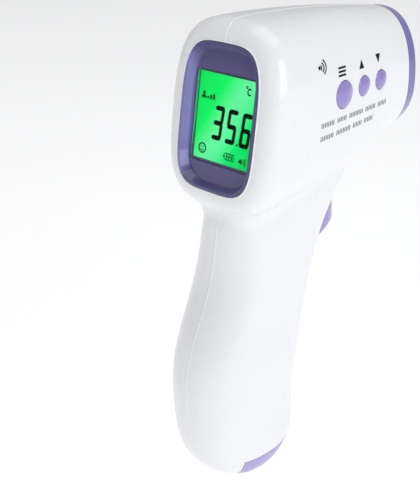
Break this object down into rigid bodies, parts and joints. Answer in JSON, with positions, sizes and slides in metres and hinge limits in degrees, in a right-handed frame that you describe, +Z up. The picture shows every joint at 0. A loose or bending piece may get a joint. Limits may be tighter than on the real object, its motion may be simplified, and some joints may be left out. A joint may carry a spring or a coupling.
{
  "type": "infrared forehead thermometer",
  "caption": "Pistol-shaped infrared forehead thermometer: white case, framed display at the back, side buttons, trigger and battery door.",
  "frame": {"origin": "centre of the round sensor mouth at the front of the nose", "axes": "+Y is the way it aims, -Y faces the user and the display, +X is the side with the buttons, +Z is up"},
  "size_m": [0.0441, 0.0881, 0.1446],
  "materials": {
    "case_white": "glossy moulded ABS",
    "bezel_purple": "glossy dark purple",
    "clear_window": "clear acrylic",
    "lcd_glass": "display glass",
    "lcd_glow": "white light guide",
    "black_rubber": "contact strip",
    "board_green": "solder mask",
    "screw_steel": "zinc plated",
    "ribbon_grey": "flat ribbon",
    "black_plastic": "moulded",
    "switch_metal": "pressed steel cover",
    "trim_purple": "glossy purple",
    "cone_white": "satin white",
    "sensor_barrel": "turned",
    "sensor_cap": "nickel plated can",
    "sensor_glass": "silicon filter",
    "wire_grey": "insulation",
    "pin_steel": "steel wire",
    "cradle_plastic": "moulded",
    "cell_jacket": "plain printed jacket",
    "contact_nickel": "nickel plated",
    "wire_red": "insulation",
    "wire_black": "insulation",
    "trim_lavender": "glossy lavender",
    "plunger_black": "moulded",
    "button_lavender": "glossy lavender"
  },
  "bodies": {
    "body": {"right_shell": "case_white", "left_shell": "case_white", "display_bezel": "bezel_purple", "display_window": "clear_window", "lcd_panel": "lcd_glass", "lcd_backlight": "lcd_glow", "lcd_connector": "black_rubber", "display_board": "board_green", "display_screws": "screw_steel", "display_ribbon": "ribbon_grey", "main_board": "board_green", "board_screws": "screw_steel", "board_chips": "black_plastic", "buzzer": "black_plastic", "set_switch": "switch_metal", "up_switch": "switch_metal", "down_switch": "switch_metal", "nose_ring": "trim_purple", "sensor_cone": "cone_white", "sensor_holder": "sensor_barrel", "sensor_can": "sensor_cap", "sensor_lens": "sensor_glass", "sensor_board": "board_green", "sensor_wires": "wire_grey", "case_screws": "screw_steel", "trigger_pin": "pin_steel", "trigger_board": "board_green", "trigger_switch": "switch_metal", "trigger_spring": "pin_steel", "battery_cradle": "cradle_plastic", "right_cell": "cell_jacket", "left_cell": "cell_jacket", "positive_contact": "contact_nickel", "negative_contact": "contact_nickel", "red_wire": "wire_red", "black_wire": "wire_black", "door_pin": "pin_steel"},
    "trigger": {"trigger": "trim_lavender"},
    "trigger_plunger": {"trigger_plunger": "plunger_black"},
    "set_button": {"set_button": "button_lavender", "set_plunger": "plunger_black"},
    "up_button": {"up_button": "button_lavender", "up_plunger": "plunger_black"},
    "down_button": {"down_button": "button_lavender", "down_plunger": "plunger_black"},
    "battery_door": {"battery_door": "trim_lavender", "bridge_contact": "contact_nickel"}
  },
  "joints": [
    {"name": "trigger_pull", "type": "hinge", "parent": "body", "child": "trigger", "pos_m": [0, -0.0365, -0.0395], "axis": [-1, 0, 0], "range_deg": [0, 2.8], "stiffness_Nm_per_rad": 0.12, "springref_deg": -5.73, "deforming": ["trigger_spring"]},
    {"name": "trigger_click", "type": "slide", "parent": "body", "child": "trigger_plunger", "axis": [0, -1, 0], "range_m": [0, 0.0007]},
    {"name": "set_press", "type": "slide", "parent": "body", "child": "set_button", "axis": [-1, 0, 0], "range_m": [0, 0.0005], "stiffness_N_per_m": 400, "springref_m": -0.0005},
    {"name": "up_press", "type": "slide", "parent": "body", "child": "up_button", "axis": [-1, 0, 0], "range_m": [0, 0.0005], "stiffness_N_per_m": 400, "springref_m": -0.0005},
    {"name": "down_press", "type": "slide", "parent": "body", "child": "down_button", "axis": [-1, 0, 0], "range_m": [0, 0.0005], "stiffness_N_per_m": 400, "springref_m": -0.0005},
    {"name": "door_swing", "type": "hinge", "parent": "body", "child": "battery_door", "pos_m": [0, -0.0737, -0.1195], "axis": [-1, 0, 0], "range_deg": [0, 95]}
  ],
  "couplings": [
    {"joint": "trigger_click", "follows": "trigger_pull", "m_per_rad": 0.0115}
  ]
}
